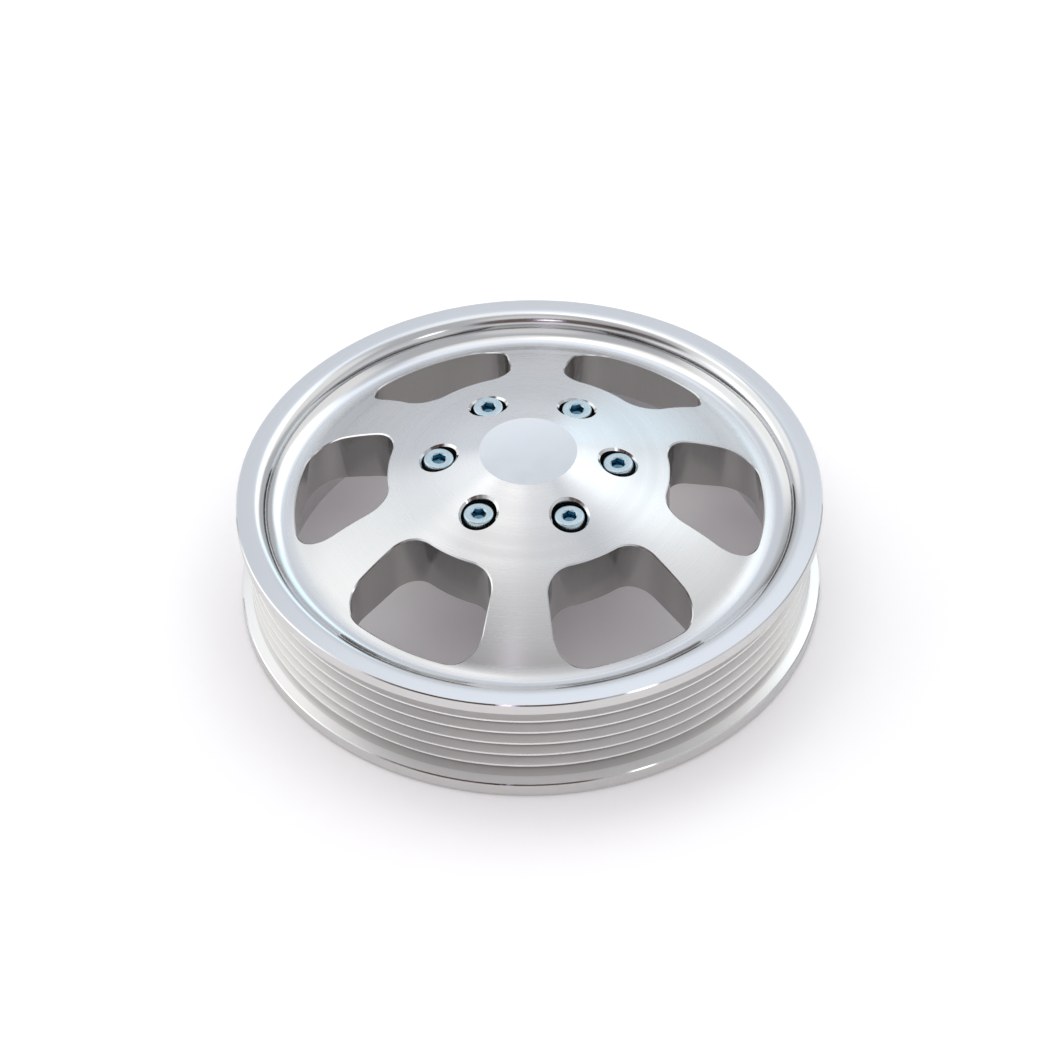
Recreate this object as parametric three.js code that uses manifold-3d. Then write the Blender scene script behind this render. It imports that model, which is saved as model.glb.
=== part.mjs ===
// Six-rib belt pulley of a supercharger drive: a domed billet wheel with six windows, bolted to a
// steel hub by six socket-head cap screws. The hub slides on a keyed shaft and two grub screws lock it.
// Millimetres, +Z along the shaft and out of the front face, origin on the axis in the rim's back plane.
import * as THREE from "three";
import { mergeVertices } from "three/addons/utils/BufferGeometryUtils.js";
import Module from "manifold-3d";

const wasm = await Module();
wasm.setup();

// Rim and belt grooves (PK profile)
const RIM_RADIUS = 67.25;
const RIM_WIDTH = 29.1;
const RIM_BORE = 57.5;
const GROOVES = 6;
const GROOVE_PITCH = 3.56;
const GROOVE_DEPTH = 3;
const GROOVE_ANGLE = 40;
const CREST_RADIUS = 65;
const CREST_FLAT = 0.5;
const GROOVE_CENTRE_DEPTH = 14.24; // middle of the grooves, behind the front face
const SHOULDER = 0.4; // cylinder between the outer groove and the flange
const FLANGE_FALL = 0.55; // how far the flange's inner face leans away from the grooves
const EDGE = 0.4; // edge break on turned corners

// The front of the web: flat centre, cone, dome, hollow fillet and a round up to the flange face
const CENTRE_RADIUS = 11.15;
const CENTRE_RISE = 13.15; // above the flange face
const CONE_RADIUS = 30.6;
const CONE_SLOPE = 16; // degrees
const DOME_RADIUS = 72;
const DOME_END = 35.6; // degrees of slope where the dome runs into the fillet
const FILLET_RADIUS = 5.7;
const ROUND_RADIUS = 3.36;
const FLANGE_FACE = 3.9; // width of the flat flange face

// The back of the web
const WEB_THICKNESS = 13.8; // along the axis, at the windows' inner edge
const BACK_SLOPE = 22.3; // degrees
const BACK_FILLET = 3;
const SEAT_DEPTH = 2; // the hub's seat, behind the flange face
const POCKET_RADIUS = 10;
const POCKET_DEPTH = 9;

// Windows and screws share the same six directions
const SPOKES = 6;
const WINDOW_INNER = 32.2;
const WINDOW_OUTER = 53.85;
const WINDOW_HALF_ANGLE = 20.4;
const WINDOW_CORNER = 6.8;
const SCREW_CIRCLE = 20.4; // radius

// M4 socket-head cap screws
const THREAD_RADIUS = 2;
const HEAD_RADIUS = 3.5;
const HEAD_HEIGHT = 4;
const SCREW_LENGTH = 16;
const SOCKET_WIDTH = 3;
const SOCKET_DEPTH = 2;
const COUNTERBORE_RADIUS = 4.1;
const CLEARANCE_RADIUS = 2.25;
const HEAD_SEAT = 6.1; // above the flange face

// Hub, key and M4 grub screws
const HUB_END = 4.9; // height of the hub's back end, inside the rim
const HUB_FLANGE_RADIUS = 26;
const HUB_FLANGE_THICKNESS = 8.2;
const HUB_RADIUS = 12.8;
const HUB_BORE = 7.5;
const HUB_BLEND = 4.5;
const KEY_WIDTH = 5;
const KEY_LENGTH = 18;
const KEY_PROUD = 2.3; // how far the keyway is cut above the bore
const KEY_DIRECTION = 90;
const GRUB_DIRECTION = 0;
const GRUB_HEIGHT = 10.4;
const GRUB_LENGTH = 5;
const KEY_GRUB_LENGTH = 3;
const GRUB_SOCKET = 2;

const GAP = 0.15; // running clearance between neighbours
const WHEEL_STEPS = 48;
const HUB_STEPS = 36;
const SMALL_STEPS = 16;

const FRONT = RIM_WIDTH; // height of the flange face
const degrees = THREE.MathUtils.degToRad;

const aluminium = new THREE.MeshStandardMaterial({ color: 0xd4d7dc, roughness: 0.28, metalness: 1 });
const darkSteel = new THREE.MeshStandardMaterial({ color: 0x4a4744, roughness: 0.62, metalness: 0.9 });
const zincSteel = new THREE.MeshStandardMaterial({ color: 0xc4d6de, roughness: 0.3, metalness: 1 });
const blackSteel = new THREE.MeshStandardMaterial({ color: 0x26272a, roughness: 0.45, metalness: 0.85 });
const brightSteel = new THREE.MeshStandardMaterial({ color: 0x9da0a3, roughness: 0.4, metalness: 1 });

// A closed mesh as a solid for joining and cutting.
function solid(geometry) {
  const bare = geometry.clone();
  bare.deleteAttribute("normal");
  bare.deleteAttribute("uv");
  const merged = mergeVertices(bare, 1e-4);
  const corners = [];
  for (let i = 0; i < merged.index.count; i += 3) {
    const [a, b, c] = [0, 1, 2].map((k) => merged.index.getX(i + k));
    if (a !== b && b !== c && c !== a) corners.push(a, b, c);
  }
  return new wasm.Manifold(
    new wasm.Mesh({
      numProp: 3,
      vertProperties: merged.attributes.position.array,
      triVerts: new Uint32Array(corners),
    }),
  );
}

// A solid as a named mesh.
function mesh(name, body, material) {
  const { vertProperties, triVerts } = body.getMesh();
  const geometry = new THREE.BufferGeometry();
  geometry.setAttribute("position", new THREE.BufferAttribute(new Float32Array(vertProperties), 3));
  geometry.setIndex(new THREE.BufferAttribute(new Uint32Array(triVerts), 1));
  geometry.computeVertexNormals();
  const made = new THREE.Mesh(geometry, material);
  made.name = name;
  return made;
}

// A profile of [radius, height] points turned round the Z axis.
function turned(points, steps) {
  const profile = points.map(([radius, height]) => new THREE.Vector2(radius, height));
  return solid(new THREE.LatheGeometry(profile, steps).rotateX(Math.PI / 2));
}

function rod(radius, bottom, top, steps = SMALL_STEPS) {
  return solid(
    new THREE.CylinderGeometry(radius, radius, top - bottom, steps)
      .rotateX(Math.PI / 2)
      .translate(0, 0, (top + bottom) / 2),
  );
}

// A hexagonal prism for a key socket: width across flats.
function hexagon(width, bottom, top) {
  return rod(width / Math.sqrt(3), bottom, top, 6);
}

// Points on an arc in the section plane, from one angle to another, both in degrees.
function arc([radius, height], size, from, to, steps) {
  return Array.from({ length: steps + 1 }, (_, i) => {
    const angle = degrees(from + ((to - from) * i) / steps);
    return [radius + size * Math.cos(angle), height + size * Math.sin(angle)];
  });
}

// The lower of the two points where two circles in the section plane cross.
function crossing([ax, ay], ra, [bx, by], rb) {
  const [dx, dy] = [bx - ax, by - ay];
  const between = Math.hypot(dx, dy);
  const along = (ra * ra - rb * rb + between * between) / (2 * between);
  const across = Math.sqrt(ra * ra - along * along);
  return [ax + (dx * along + dy * across) / between, ay + (dy * along - dx * across) / between];
}

function angleOf([ax, ay], [bx, by]) {
  return THREE.MathUtils.radToDeg(Math.atan2(by - ay, bx - ax));
}

// Heights in the wheel's profiles count from the flange face and fall towards the back.
function webFront() {
  const slope = degrees(CONE_SLOPE);
  const end = degrees(DOME_END);
  const coneEnd = [CONE_RADIUS, CENTRE_RISE - (CONE_RADIUS - CENTRE_RADIUS) * Math.tan(slope)];
  const dome = [
    coneEnd[0] - DOME_RADIUS * Math.sin(slope),
    coneEnd[1] - DOME_RADIUS * Math.cos(slope),
  ];
  const reach = DOME_RADIUS + FILLET_RADIUS;
  const fillet = [dome[0] + reach * Math.sin(end), dome[1] + reach * Math.cos(end)];
  const round = [RIM_RADIUS - FLANGE_FACE, -ROUND_RADIUS];
  const crease = crossing(fillet, FILLET_RADIUS, round, ROUND_RADIUS);
  return [
    [0, CENTRE_RISE],
    [CENTRE_RADIUS, CENTRE_RISE],
    ...arc(dome, DOME_RADIUS, 90 - CONE_SLOPE, 90 - DOME_END, 4),
    ...arc(fillet, FILLET_RADIUS, 270 - DOME_END, 360 + angleOf(fillet, crease), 4).slice(1),
    ...arc(round, ROUND_RADIUS, angleOf(round, crease), 90, 4).slice(1),
  ];
}

// The rim's outside, from the front flange over the grooves to the back flange.
function rimOutside() {
  const mouth = (GROOVE_PITCH - CREST_FLAT) / 2;
  const floor = mouth - GROOVE_DEPTH * Math.tan(degrees(GROOVE_ANGLE / 2));
  const bottom = CREST_RADIUS - GROOVE_DEPTH;
  const grooves = [];
  for (let i = 0; i < GROOVES; i++) {
    const centre = -GROOVE_CENTRE_DEPTH + ((GROOVES - 1) / 2 - i) * GROOVE_PITCH;
    grooves.push(
      [CREST_RADIUS, centre + mouth],
      [bottom, centre + floor],
      [bottom, centre - floor],
      [CREST_RADIUS, centre - mouth],
    );
  }
  const first = grooves[0][1] + SHOULDER;
  const last = grooves[grooves.length - 1][1] - SHOULDER;
  return [
    [RIM_RADIUS - EDGE, 0],
    [RIM_RADIUS, -EDGE],
    [RIM_RADIUS, first + FLANGE_FALL],
    [CREST_RADIUS, first],
    ...grooves,
    [CREST_RADIUS, last],
    [RIM_RADIUS, last - FLANGE_FALL],
    [RIM_RADIUS, EDGE - RIM_WIDTH],
    [RIM_RADIUS - EDGE, -RIM_WIDTH],
  ];
}

// The back of the wheel, from the rim's bore over the web to the pocket that clears the shaft's end.
function wheelBack() {
  const slope = Math.tan(degrees(BACK_SLOPE));
  const register = HUB_FLANGE_RADIUS + GAP;
  const coneEnd = CENTRE_RISE - (CONE_RADIUS - CENTRE_RADIUS) * Math.tan(degrees(CONE_SLOPE));
  const middle = coneEnd - WEB_THICKNESS;
  const back = (radius) => middle - (radius - WINDOW_INNER) * slope;
  const lean = degrees(BACK_SLOPE);
  const centre = [
    RIM_BORE - BACK_FILLET,
    back(RIM_BORE - BACK_FILLET) - BACK_FILLET / Math.cos(lean),
  ];
  return [
    [RIM_BORE + EDGE, -RIM_WIDTH],
    [RIM_BORE, EDGE - RIM_WIDTH],
    ...arc(centre, BACK_FILLET, 0, 90 - BACK_SLOPE, 2),
    [register, back(register)],
    [register, -SEAT_DEPTH],
    [POCKET_RADIUS, -SEAT_DEPTH],
    [POCKET_RADIUS, POCKET_DEPTH - SEAT_DEPTH - 2 * EDGE],
    [POCKET_RADIUS - 2 * EDGE, POCKET_DEPTH - SEAT_DEPTH],
    [0, POCKET_DEPTH - SEAT_DEPTH],
  ];
}

// One window: two arcs round the axis and two straight sides, with round corners.
function windowOutline() {
  const half = degrees(WINDOW_HALF_ANGLE);
  const outer = WINDOW_OUTER - WINDOW_CORNER;
  const inner = WINDOW_INNER + WINDOW_CORNER;
  const outerTurn = half - Math.asin(WINDOW_CORNER / outer);
  const innerTurn = half - Math.asin(WINDOW_CORNER / inner);
  const shape = new THREE.Shape();
  const corner = (radius, turn, from, to) =>
    shape.absarc(radius * Math.cos(turn), radius * Math.sin(turn), WINDOW_CORNER, from, to, false);
  corner(outer, -outerTurn, -half - Math.PI / 2, -outerTurn);
  shape.absarc(0, 0, WINDOW_OUTER, -outerTurn, outerTurn, false);
  corner(outer, outerTurn, outerTurn, half + Math.PI / 2);
  corner(inner, innerTurn, half + Math.PI / 2, innerTurn + Math.PI);
  shape.absarc(0, 0, WINDOW_INNER, innerTurn, -innerTurn, true);
  corner(inner, -innerTurn, Math.PI - innerTurn, 1.5 * Math.PI - half);
  return shape;
}

function pulleyWheel() {
  let wheel = turned([...webFront(), ...rimOutside(), ...wheelBack()].reverse(), WHEEL_STEPS);
  const opening = solid(
    new THREE.ExtrudeGeometry(windowOutline(), { depth: 60, bevelEnabled: false, curveSegments: 4 })
      .translate(0, 0, -40),
  );
  const seat = rod(COUNTERBORE_RADIUS, HEAD_SEAT, CENTRE_RISE)
    .add(rod(CLEARANCE_RADIUS, -2 * SEAT_DEPTH, CENTRE_RISE))
    .translate([SCREW_CIRCLE, 0, 0]);
  for (let i = 0; i < SPOKES; i++) {
    const turn = [0, 0, (i * 360) / SPOKES];
    wheel = wheel.subtract(opening.rotate(turn)).subtract(seat.rotate(turn));
  }
  return mesh("pulley_wheel", wheel.translate([0, 0, FRONT]), aluminium);
}

function capScrew(number) {
  const top = HEAD_SEAT + GAP + HEAD_HEIGHT;
  const bottom = top - HEAD_HEIGHT - SCREW_LENGTH;
  const body = turned(
    [
      [0, bottom],
      [THREAD_RADIUS - EDGE, bottom],
      [THREAD_RADIUS, bottom + EDGE],
      [THREAD_RADIUS, HEAD_SEAT + GAP],
      [HEAD_RADIUS, HEAD_SEAT + GAP],
      [HEAD_RADIUS, top - EDGE],
      [HEAD_RADIUS - EDGE, top],
      [0, top],
    ],
    SMALL_STEPS,
  ).subtract(hexagon(SOCKET_WIDTH, top - SOCKET_DEPTH, top + 1));
  const screw = mesh(`cap_screw_${number + 1}`, body, zincSteel);
  const direction = degrees((number * 360) / SPOKES);
  screw.position.set(SCREW_CIRCLE * Math.cos(direction), SCREW_CIRCLE * Math.sin(direction), FRONT);
  return screw;
}

function driveHub() {
  const face = FRONT - SEAT_DEPTH - GAP;
  const flangeBack = face - HUB_FLANGE_THICKNESS;
  const pilot = POCKET_RADIUS - GAP;
  let hub = turned(
    [
      [HUB_BORE, HUB_END + EDGE],
      [HUB_BORE + EDGE, HUB_END],
      [HUB_RADIUS - 2 * EDGE, HUB_END],
      [HUB_RADIUS, HUB_END + 2 * EDGE],
      [HUB_RADIUS, flangeBack - HUB_BLEND],
      [HUB_RADIUS + HUB_BLEND, flangeBack],
      [HUB_FLANGE_RADIUS - EDGE, flangeBack],
      [HUB_FLANGE_RADIUS, flangeBack + EDGE],
      [HUB_FLANGE_RADIUS, face - EDGE],
      [HUB_FLANGE_RADIUS - EDGE, face],
      [pilot, face],
      [pilot, face + SEAT_DEPTH],
      [HUB_BORE, face + SEAT_DEPTH],
      [HUB_BORE, HUB_END + EDGE],
    ],
    HUB_STEPS,
  );
  const tapped = rod(THREAD_RADIUS + GAP, flangeBack - 1, face + 1);
  for (let i = 0; i < SPOKES; i++) {
    hub = hub.subtract(tapped.translate([SCREW_CIRCLE, 0, 0]).rotate([0, 0, (i * 360) / SPOKES]));
  }
  const keyway = solid(
    new THREE.BoxGeometry(HUB_BORE + KEY_PROUD, KEY_WIDTH + 2 * GAP, 2 * FRONT).translate(
      (HUB_BORE + KEY_PROUD) / 2,
      0,
      FRONT,
    ),
  );
  const cross = rod(THREAD_RADIUS + GAP, HUB_BORE - 1, HUB_RADIUS + 1)
    .rotate([0, 90, 0])
    .translate([0, 0, GRUB_HEIGHT]);
  hub = hub
    .subtract(keyway.translate([0, 0, -FRONT / 2]).rotate([0, 0, KEY_DIRECTION]))
    .subtract(cross.rotate([0, 0, KEY_DIRECTION]))
    .subtract(cross.rotate([0, 0, GRUB_DIRECTION]));
  return mesh("drive_hub", hub, darkSteel);
}

function driveKey() {
  const outer = HUB_BORE + KEY_PROUD - GAP;
  const key = new THREE.Mesh(new THREE.BoxGeometry(KEY_WIDTH, KEY_WIDTH, KEY_LENGTH), brightSteel);
  key.name = "drive_key";
  key.position.set(outer - KEY_WIDTH / 2, 0, HUB_END + 1 + KEY_LENGTH / 2);
  const group = new THREE.Group().add(key);
  group.rotation.z = degrees(KEY_DIRECTION);
  return group;
}

// A grub screw along +X, its flat tip at radius `tip`, turned to its direction round the hub.
function grubScrew(name, tip, length, direction) {
  const end = tip + length;
  const body = turned(
    [
      [0, tip],
      [THREAD_RADIUS - EDGE, tip],
      [THREAD_RADIUS, tip + EDGE],
      [THREAD_RADIUS, end - EDGE],
      [THREAD_RADIUS - EDGE, end],
      [0, end],
    ],
    SMALL_STEPS,
  ).subtract(hexagon(GRUB_SOCKET, end - GRUB_SOCKET, end + 1));
  const screw = mesh(name, body, blackSteel);
  screw.rotation.y = Math.PI / 2;
  screw.position.z = GRUB_HEIGHT;
  const group = new THREE.Group().add(screw);
  group.rotation.z = degrees(direction);
  return group;
}

const pulley = new THREE.Group();
pulley.name = "supercharger_pulley";
pulley.add(pulleyWheel(), driveHub(), driveKey());
for (let i = 0; i < SPOKES; i++) pulley.add(capScrew(i));
pulley.add(
  grubScrew("shaft_grub_screw", HUB_BORE, GRUB_LENGTH, GRUB_DIRECTION),
  grubScrew("key_grub_screw", HUB_BORE + KEY_PROUD, KEY_GRUB_LENGTH, KEY_DIRECTION),
);

export default pulley;
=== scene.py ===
"""The looks of a supercharger drive pulley: a turned and milled aluminium wheel with six windows, its
socket-head cap screws, and the steel hub, key and grub screws behind it. Shapes are worked out in
millimetres and stored in metres. Heights on the wheel count from the front flange's face."""
import math

import bmesh
import bpy
import numpy as np
from mathutils import Matrix, Vector


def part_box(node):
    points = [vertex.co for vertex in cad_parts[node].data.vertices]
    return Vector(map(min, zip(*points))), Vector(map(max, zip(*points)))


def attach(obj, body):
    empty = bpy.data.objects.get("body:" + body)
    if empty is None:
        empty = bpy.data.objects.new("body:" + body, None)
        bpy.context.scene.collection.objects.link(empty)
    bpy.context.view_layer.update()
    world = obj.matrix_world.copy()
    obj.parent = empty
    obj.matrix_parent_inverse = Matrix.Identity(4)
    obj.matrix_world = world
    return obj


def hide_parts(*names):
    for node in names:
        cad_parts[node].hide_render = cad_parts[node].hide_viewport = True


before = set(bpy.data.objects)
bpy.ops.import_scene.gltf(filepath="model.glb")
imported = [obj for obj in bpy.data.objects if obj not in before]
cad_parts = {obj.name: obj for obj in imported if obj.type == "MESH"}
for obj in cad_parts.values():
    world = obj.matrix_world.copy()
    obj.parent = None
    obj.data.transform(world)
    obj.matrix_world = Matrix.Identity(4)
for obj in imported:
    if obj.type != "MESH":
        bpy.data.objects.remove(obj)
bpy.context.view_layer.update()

MM = 0.001


def box_of(node_name):
    """A CAD node's lowest and highest corners, in millimetres."""
    low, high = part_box(node_name)
    return low / MM, high / MM


wheel_high = box_of("pulley_wheel")[1]
screw_low, screw_high = box_of("cap_screw_1")
hub_low, hub_high = box_of("drive_hub")
key_low, key_high = box_of("drive_key")

# Rim and belt grooves
RIM_RADIUS = wheel_high.x
RIM_WIDTH = 29.1
RIM_FRONT, RIM_BACK = 0.0, -RIM_WIDTH
RIM_BORE = 57.5
GROOVES = 6
GROOVE_PITCH = 3.56
GROOVE_DEPTH = 3.0
GROOVE_ANGLE = math.radians(40)
GROOVE_BOTTOM_RADIUS = 0.4
CREST_RADIUS = 65.0
CREST_FLAT = 0.5
CREST_ROUND = 0.14
GROOVE_CENTRE_DEPTH = 14.6
SHOULDER = 0.75
FLANGE_FALL = 0.55
EDGE = 0.4  # width of a broken edge
FINE_EDGE = 0.25  # the same on the flanges' outer edges

# Front of the web: a shallow dished disc, a cone, a dome and a fillet that meets the flange's round
CENTRE_RADIUS = 11.15
CENTRE_RISE = wheel_high.z - RIM_WIDTH
DISC_DISH = 0.2
CONE_RADIUS = 30.6
CONE_SLOPE = math.radians(16)
DOME_RADIUS = 72.0
DOME_END = math.radians(35.4)
FILLET_RADIUS = 6.4
ROUND_RADIUS = 3.36
FLANGE_FACE = 3.9

# Back of the web
WEB_THICKNESS = 13.8
BACK_SLOPE = math.radians(22.3)
BACK_FILLET = 3.0
SEAT_DEPTH = 2.0
REGISTER_RADIUS = 26.15
POCKET_RADIUS = 10.0
POCKET_DEPTH = 9.0

# Windows and screw holes
SPOKES = 6
SPOKE_ANGLES = [spoke * 2 * math.pi / SPOKES for spoke in range(SPOKES)]
WINDOW_INNER = 32.2
WINDOW_OUTER = 53.85
WINDOW_HALF_ANGLE = math.radians(20.4)
WINDOW_CORNER = 6.8
WINDOW_CHAMFER = 0.28
SCREW_CIRCLE = (screw_low.x + screw_high.x) / 2
COUNTERBORE_RADIUS = 4.1
COUNTERBORE_CHAMFER = 0.5
COUNTERBORE_BRIGHT = 0.15  # least height of the bright wall under the chamfer
CLEARANCE_RADIUS = 2.25
HEAD_SEAT = 6.1

# Screws
HEAD_RADIUS = (screw_high.x - screw_low.x) / 2
HEAD_HEIGHT = 4.0
HEAD_ROUND = 0.4
HEAD_UNDERCUT = 0.3  # how far the head's bottom edge is drawn in
HEAD_RING = 1.0  # width of the ring of faces outside the socket's own
KNURLS = 36
KNURL_DEPTH = 0.09
KNURL_FOOT, KNURL_TOP = 0.45, 2.95
KNURL_FADE = 0.25
HEX_TURN = 37.0  # degrees from one screw's socket to the next, as tightened screws stop anywhere
SOCKET_WIDTH = 3.0
SOCKET_DEPTH = 2.0
SOCKET_POINT = 0.6
SOCKET_MOUTH = 1.06  # the countersink's width for a hexagon 1 across its corners
SOCKET_DRILL = 0.47  # the drill's radius for a hexagon 1 across its flats
COUNTERSINK = math.radians(32)
THREAD_RADIUS = 2.0
THREAD_PITCH = 0.7
THREAD_DEPTH = 0.43
THREAD_CORE = THREAD_RADIUS - THREAD_DEPTH
NECK = 0.8
NECK_RADIUS = THREAD_RADIUS - 0.05
NECK_TAPER = 0.35
NECK_FILLET = 0.1

# Grub screws
GRUB_DIRECTIONS = {"shaft_grub_screw": (1, 0, 0), "key_grub_screw": (0, 1, 0)}
GRUB_SOCKET = 2.0
GRUB_SOCKET_DEPTH = 1.8
GRUB_SOCKET_POINT = 0.25
GRUB_BEVEL = 0.2
GRUB_BEVEL_WIDTH = 0.15
CUP_DEPTH = 0.3
CUP_RADIUS = 0.7
CUP_RIM_RADIUS = 1.0
CUP_BEVEL = 0.35

# Hub and key
HUB_FLANGE_THICKNESS = 8.2
HUB_RADIUS = 12.8
HUB_BORE = 7.5
HUB_BLEND = 4.5
PILOT_RADIUS = 9.85
TAPPED_RADIUS = 2.15
KEY_GAP = 0.15
KEY_EDGE = 0.3

# Mesh fineness
SECTOR_STEPS = 48
STEPS = SECTOR_STEPS * SPOKES
SCREW_SIDE_STEPS = 14
WINDOW_SIDE_STEPS = 34
BEND_STEPS = 60
RING_CROWDING = 1.3  # above 1, the rings of faces round a hole crowd towards it
WINDOW_CROWDING = 1.5  # above 1, the rows of faces beside the windows crowd towards the rim
SHANK_COLUMNS = 36
HEAD_COLUMNS = 144
HUB_COLUMNS = 192
CUTTER_COLUMNS = 48
WELD = 0.002  # points closer than this become one
SHARP, HUB_SHARP, SCREW_SHARP = 12.0, 20.0, 22.0  # edges that turn more degrees than this stay crisp


# ---------------------------------------------------------------- mesh helpers


class Shell:
    """Grids of quads that are welded into one closed mesh, each grid with a finish of its own."""

    def __init__(self):
        self.points, self.faces, self.finishes = [], [], []

    def grid(self, rows, finish, closed=False):
        """rows: an array of rows of points. A closed grid's last column meets its first."""
        rows = np.asarray(rows, float)
        count, width = rows.shape[:2]
        start = len(self.points)
        self.points.extend(rows.reshape(-1, 3).tolist())
        for i in range(count - 1):
            for j in range(width if closed else width - 1):
                k = (j + 1) % width
                a, b = start + i * width, start + (i + 1) * width
                self.faces.append((a + j, a + k, b + k, b + j))
                self.finishes.append(finish)

    def turned(self, profile, finish, steps=STEPS):
        """A profile of (radius, height) points turned round the Z axis."""
        angles = np.arange(steps) * 2 * math.pi / steps
        ring = np.stack([np.cos(angles), np.sin(angles)], 1)
        rows = [np.column_stack([radius * ring, np.full(steps, height)]) for radius, height in profile]
        self.grid(rows, finish, closed=True)

    def annulus(self, inner, outer, finish):
        """A flat ring of faces between an inner ring and an outer one with a multiple of its points."""
        inner, outer = np.asarray(inner, float), np.asarray(outer, float)
        start, share = len(self.points), len(outer) // len(inner)
        self.points.extend(inner.tolist() + outer.tolist())
        for j in range(len(inner)):
            rim = [start + len(inner) + (j * share + k) % len(outer) for k in range(share + 1)]
            self.faces.append([start + j, *rim, start + (j + 1) % len(inner)])
            self.finishes.append(finish)

    def build(self, name, materials, sharp=SHARP, lift=0.0):
        """The welded mesh as an object, in metres, raised by lift millimetres."""
        work = bmesh.new()
        corners = [work.verts.new((x * MM, y * MM, (z + lift) * MM)) for x, y, z in self.points]
        for face, finish in zip(self.faces, self.finishes):
            work.faces.new([corners[i] for i in face]).material_index = finish
        bmesh.ops.remove_doubles(work, verts=work.verts, dist=WELD * MM)
        bmesh.ops.recalc_face_normals(work, faces=work.faces)
        return finished(name, work, materials, sharp)


def finished(name, work, materials, sharp=SHARP):
    """A bmesh as an object. Edges that turn more than sharp degrees stay crisp."""
    mesh = bpy.data.meshes.new(name)
    work.to_mesh(mesh)
    work.free()
    mesh.shade_smooth()
    mesh.set_sharp_from_angle(angle=math.radians(sharp))
    for material in materials:
        mesh.materials.append(material)
    piece = bpy.data.objects.new(name, mesh)
    bpy.context.scene.collection.objects.link(piece)
    return piece


def arc(centre, size, start, end, step=math.radians(4)):
    """(radius, height) points on an arc of the section, angles in radians."""
    count = max(2, math.ceil(abs(end - start) / step))
    angles = np.linspace(start, end, count + 1)
    return [(centre[0] + size * math.cos(a), centre[1] + size * math.sin(a)) for a in angles]


def run(first, last, count):
    """Evenly spaced points from first to last."""
    return [tuple(p) for p in np.linspace(first, last, count + 1)]


def crossing(a, size_a, b, size_b):
    """The lower of the two points where two circles in the section cross."""
    dx, dy = b[0] - a[0], b[1] - a[1]
    between = math.hypot(dx, dy)
    along = (size_a**2 - size_b**2 + between**2) / (2 * between)
    across = math.sqrt(size_a**2 - along**2)
    return a[0] + (dx * along + dy * across) / between, a[1] + (dy * along - dx * across) / between


def angle_of(centre, point):
    """The angle at which point lies from centre, in the section."""
    return math.atan2(point[1] - centre[1], point[0] - centre[0])


# ---------------------------------------------------------------- the wheel's section

CONE_END = (CONE_RADIUS, CENTRE_RISE - (CONE_RADIUS - CENTRE_RADIUS) * math.tan(CONE_SLOPE))
DOME_CENTRE = (
    CONE_END[0] - DOME_RADIUS * math.sin(CONE_SLOPE),
    CONE_END[1] - DOME_RADIUS * math.cos(CONE_SLOPE),
)
FILLET_CENTRE = (
    DOME_CENTRE[0] + (DOME_RADIUS + FILLET_RADIUS) * math.sin(DOME_END),
    DOME_CENTRE[1] + (DOME_RADIUS + FILLET_RADIUS) * math.cos(DOME_END),
)
ROUND_CENTRE = (RIM_RADIUS - FLANGE_FACE, -ROUND_RADIUS)
CREASE = crossing(FILLET_CENTRE, FILLET_RADIUS, ROUND_CENTRE, ROUND_RADIUS)
DOME_RIM = DOME_CENTRE[0] + DOME_RADIUS * math.sin(DOME_END)


def front(radius):
    """Height of the web's front at a radius, from the centre disc to the fillet's bottom."""
    radius = np.asarray(radius, float)
    cone = CENTRE_RISE - (radius - CENTRE_RADIUS) * math.tan(CONE_SLOPE)
    dome = DOME_CENTRE[1] + np.sqrt(np.maximum(DOME_RADIUS**2 - (radius - DOME_CENTRE[0]) ** 2, 0))
    hollow = FILLET_CENTRE[1] - np.sqrt(np.maximum(FILLET_RADIUS**2 - (radius - FILLET_CENTRE[0]) ** 2, 0))
    height = np.where(radius < CONE_RADIUS, cone, np.where(radius < DOME_RIM, dome, hollow))
    return np.where(radius < CENTRE_RADIUS, CENTRE_RISE, height)


def disc(radius):
    """Height of the centre disc at a radius. It is slightly dished."""
    return CENTRE_RISE - DISC_DISH * (1 - (radius / CENTRE_RADIUS) ** 2)


def back(radius):
    """Height of the web's back cone at a radius."""
    middle = CONE_END[1] - WEB_THICKNESS
    return middle - (np.asarray(radius, float) - WINDOW_INNER) * math.tan(BACK_SLOPE)


def seat(radius):
    """Height of the hub's flat seat."""
    return np.full(np.shape(radius), -SEAT_DEPTH)


def groove_outline():
    """One groove and half a crest each side, from front to back, heights from the groove's middle."""
    half_angle = GROOVE_ANGLE / 2
    mouth = (GROOVE_PITCH - CREST_FLAT) / 2
    bottom = CREST_RADIUS - GROOVE_DEPTH
    floor = mouth - GROOVE_DEPTH * math.tan(half_angle)
    turn = math.pi / 2 - half_angle
    reach = math.tan(turn / 2)
    crest = (CREST_RADIUS - CREST_ROUND, mouth + CREST_ROUND * reach)
    root = (bottom + GROOVE_BOTTOM_RADIUS, floor - GROOVE_BOTTOM_RADIUS * reach)
    upper = arc(crest, CREST_ROUND, 0, -turn, step=math.radians(24))
    upper += arc(root, GROOVE_BOTTOM_RADIUS, math.pi - turn, math.pi, step=math.radians(18))
    return upper + [(radius, -height) for radius, height in reversed(upper)]


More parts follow.
